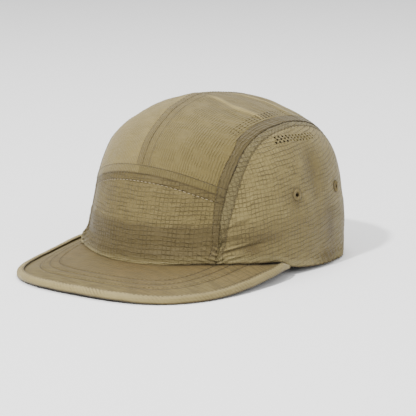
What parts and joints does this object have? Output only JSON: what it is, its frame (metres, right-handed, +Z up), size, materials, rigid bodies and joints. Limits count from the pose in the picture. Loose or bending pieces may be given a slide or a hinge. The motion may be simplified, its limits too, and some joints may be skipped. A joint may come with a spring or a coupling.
{
  "type": "running cap",
  "caption": "Light running cap with a low front panel, rounded sewn crown, bound flat brim, sweatband, eyelets and ventilation holes.",
  "frame": {"origin": "on the floor under the middle of the cap's whole length and width", "axes": "+Z up, -Y towards the brim's front edge, +X towards the wearer's left"},
  "size_m": [0.1734, 0.2511, 0.117],
  "materials": {
    "side_cloth": "thin tan ripstop nylon with a soft sheen",
    "top_cloth": "thin tan woven nylon with a soft sheen",
    "brim_cloth": "tan woven nylon over a stiff board",
    "binding_cloth": "tan nylon binding cut on the bias",
    "tape_cloth": "matt tan seam tape",
    "sweatband_cloth": "matt knitted wicking cloth",
    "thread": "worked thread"
  },
  "bodies": {
    "root": {"front_panel": "side_cloth", "top_panel_left": "top_cloth", "top_panel_right": "top_cloth", "side_panel_left": "side_cloth", "side_panel_right": "side_cloth", "seam_tape_left": "tape_cloth", "seam_tape_right": "tape_cloth", "seam_tape_front": "tape_cloth", "seam_tape_centre": "tape_cloth", "sweatband": "sweatband_cloth", "brim": "brim_cloth", "brim_binding": "binding_cloth", "eyelet_front_left": "thread", "eyelet_back_left": "thread", "eyelet_front_right": "thread", "eyelet_back_right": "thread"}
  },
  "joints": []
}
